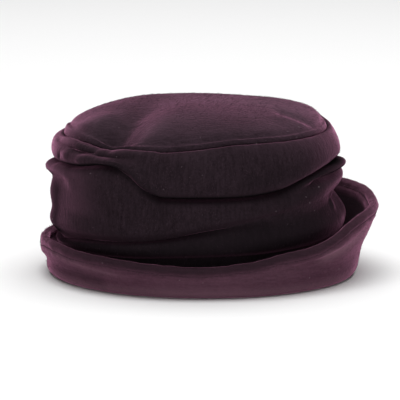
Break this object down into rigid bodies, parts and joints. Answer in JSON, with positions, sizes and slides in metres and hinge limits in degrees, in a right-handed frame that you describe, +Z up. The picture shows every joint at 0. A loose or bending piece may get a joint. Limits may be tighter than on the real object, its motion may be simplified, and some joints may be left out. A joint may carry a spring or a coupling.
{
  "type": "accordion hat",
  "caption": "Soft fleece hat with an oval crown top, a side band pushed down into horizontal folds, and a turned-up double-layer brim that rises at one end.",
  "frame": {"origin": "on the surface that the hat stands on, under the middle of its overall box", "axes": "+Z up, +X along the long way of the head towards the end where the brim rises highest, -Y towards the side that the picture shows"},
  "size_m": [0.2537, 0.2119, 0.1292],
  "materials": {
    "crown_fleece": "dark plum fleece, matt with a soft brushed nap",
    "brim_fleece": "dark plum fleece, matt with a soft brushed nap"
  },
  "bodies": {
    "root": {"crown_top": "crown_fleece", "side_band": "crown_fleece", "brim_outer": "brim_fleece", "brim_facing": "brim_fleece"}
  },
  "joints": []
}
